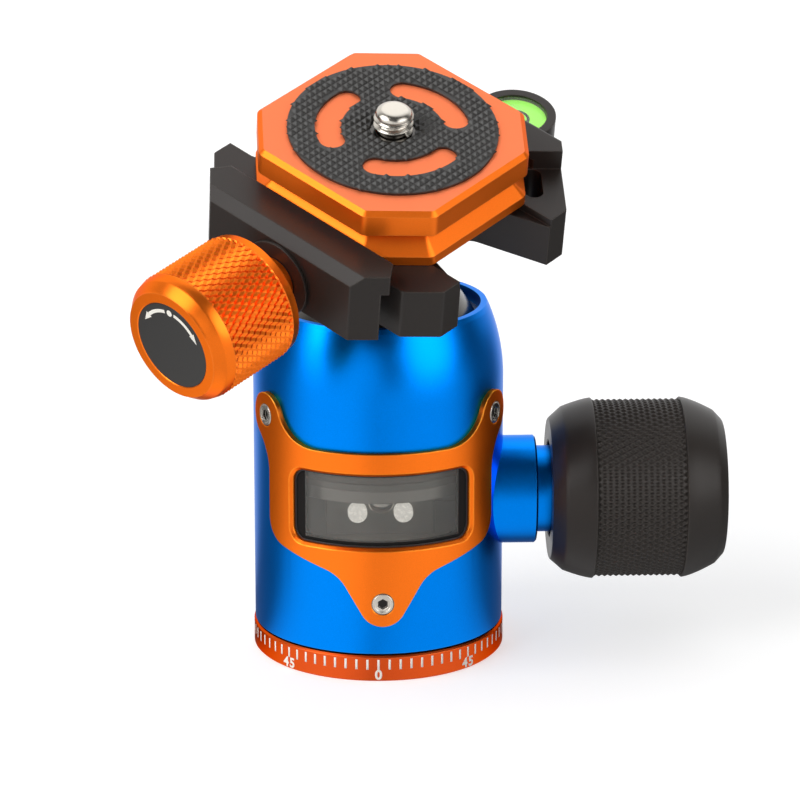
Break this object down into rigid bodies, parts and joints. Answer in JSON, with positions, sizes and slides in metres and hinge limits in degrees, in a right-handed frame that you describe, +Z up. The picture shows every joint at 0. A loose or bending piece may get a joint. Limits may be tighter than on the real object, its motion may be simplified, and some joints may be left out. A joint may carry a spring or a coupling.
{
  "type": "tripod ball head",
  "caption": "Tripod ball head with a side locking knob, panning base, front window, dovetail plate clamp with bubble level, and quick-release plate with camera screw.",
  "frame": {"origin": "centre of the underside of the base ring, at the mouth of the tripod thread", "axes": "+Z up along the pan axis, +X along the lock knob's spindle, -Y towards the window (front)"},
  "size_m": [0.0974, 0.0741, 0.1012],
  "materials": {
    "blue_anodised": "satin blue anodised aluminium",
    "orange_anodised": "satin orange anodised aluminium",
    "black_anodised": "bead-blasted black anodised aluminium",
    "ball_finish": "hard anodised, smooth and glossy",
    "plain_aluminium": "turned, plain",
    "steel": "turned steel",
    "nickel": "nickel plated, bright",
    "clear_plastic": "clear polycarbonate",
    "level_liquid": "green liquid in a clear vial",
    "grey_plastic": "grey acetal",
    "black_rubber": "matt black rubber",
    "black_label": "matt black disc with white marks"
  },
  "bodies": {
    "base": {"base_ring": "orange_anodised", "thread_bush": "steel", "pan_washer": "grey_plastic", "pan_retainer": "steel"},
    "shell": {"housing": "blue_anodised", "pan_flange": "plain_aluminium", "chamber_floor": "plain_aluminium", "ball_cup": "grey_plastic", "thrust_plate": "plain_aluminium", "centre_peg": "steel", "seat_ring": "black_rubber", "knob_bush": "blue_anodised", "window_bracket": "orange_anodised", "window_gasket": "black_rubber", "front_window": "clear_plastic", "bracket_screws": "steel"},
    "wedge": {"wedge_block": "plain_aluminium", "block_screws": "steel"},
    "lock": {"lock_spindle": "steel", "lock_knob": "blue_anodised", "knob_washer": "grey_plastic", "knob_screw": "steel", "knob_cap": "black_label"},
    "stem": {"ball": "ball_finish"},
    "clamp": {"clamp_body": "black_anodised", "clamp_bolt": "steel", "clamp_stud": "steel", "level_vial": "level_liquid", "level_lens": "clear_plastic"},
    "jaw": {"movable_jaw": "black_anodised", "guide_pins": "steel"},
    "tightener": {"clamp_knob": "orange_anodised", "knob_label": "black_label", "clamp_washer": "steel"},
    "plate": {"qr_plate": "orange_anodised", "rubber_pad": "black_rubber", "screw_clip": "steel"},
    "camera": {"camera_screw": "nickel"}
  },
  "joints": [
    {"name": "pan", "type": "hinge", "parent": "base", "child": "shell", "pos_m": [0, 0, 0.00475], "axis": [0, 0, 1], "continuous": true},
    {"name": "lock_turn", "type": "hinge", "parent": "shell", "child": "lock", "pos_m": [0, 0, 0.0263], "axis": [1, 0, 0], "range_deg": [0, 270.01]},
    {"name": "wedge_slide", "type": "slide", "parent": "shell", "child": "wedge", "axis": [1, 0, 0], "range_m": [-0.000525, 0]},
    {"name": "head_tilt", "type": "hinge", "parent": "shell", "child": "stem", "pos_m": [0, 0, 0.04915], "axis": [1, 0, 0], "range_deg": [-112.2, 13.8]},
    {"name": "head_spin", "type": "hinge", "parent": "stem", "child": "clamp", "pos_m": [0, 0, 0.04915], "axis": [0.0366, -0.4096, 0.9115], "continuous": true},
    {"name": "jaw_slide", "type": "slide", "parent": "clamp", "child": "jaw", "axis": [0.6942, 0.6666, 0.2717], "range_m": [-0.0025, 0.00125]},
    {"name": "tightener_turn", "type": "hinge", "parent": "jaw", "child": "tightener", "pos_m": [0.00119, -0.01328, 0.07871], "axis": [0.6942, 0.6666, 0.2717], "range_deg": [-1125.05, 562.55]},
    {"name": "plate_slide", "type": "slide", "parent": "clamp", "child": "plate", "axis": [0.7189, -0.6228, -0.3088], "range_m": [-0.01, 0.01]},
    {"name": "camera_screw_turn", "type": "hinge", "parent": "plate", "child": "camera", "pos_m": [0.00175, -0.01954, 0.09262], "axis": [0.0366, -0.4096, 0.9115], "continuous": true}
  ],
  "couplings": [
    {"joint": "lock_turn", "follows": "wedge_slide", "rad_per_m": -8976},
    {"joint": "tightener_turn", "follows": "jaw_slide", "rad_per_m": 7854}
  ]
}
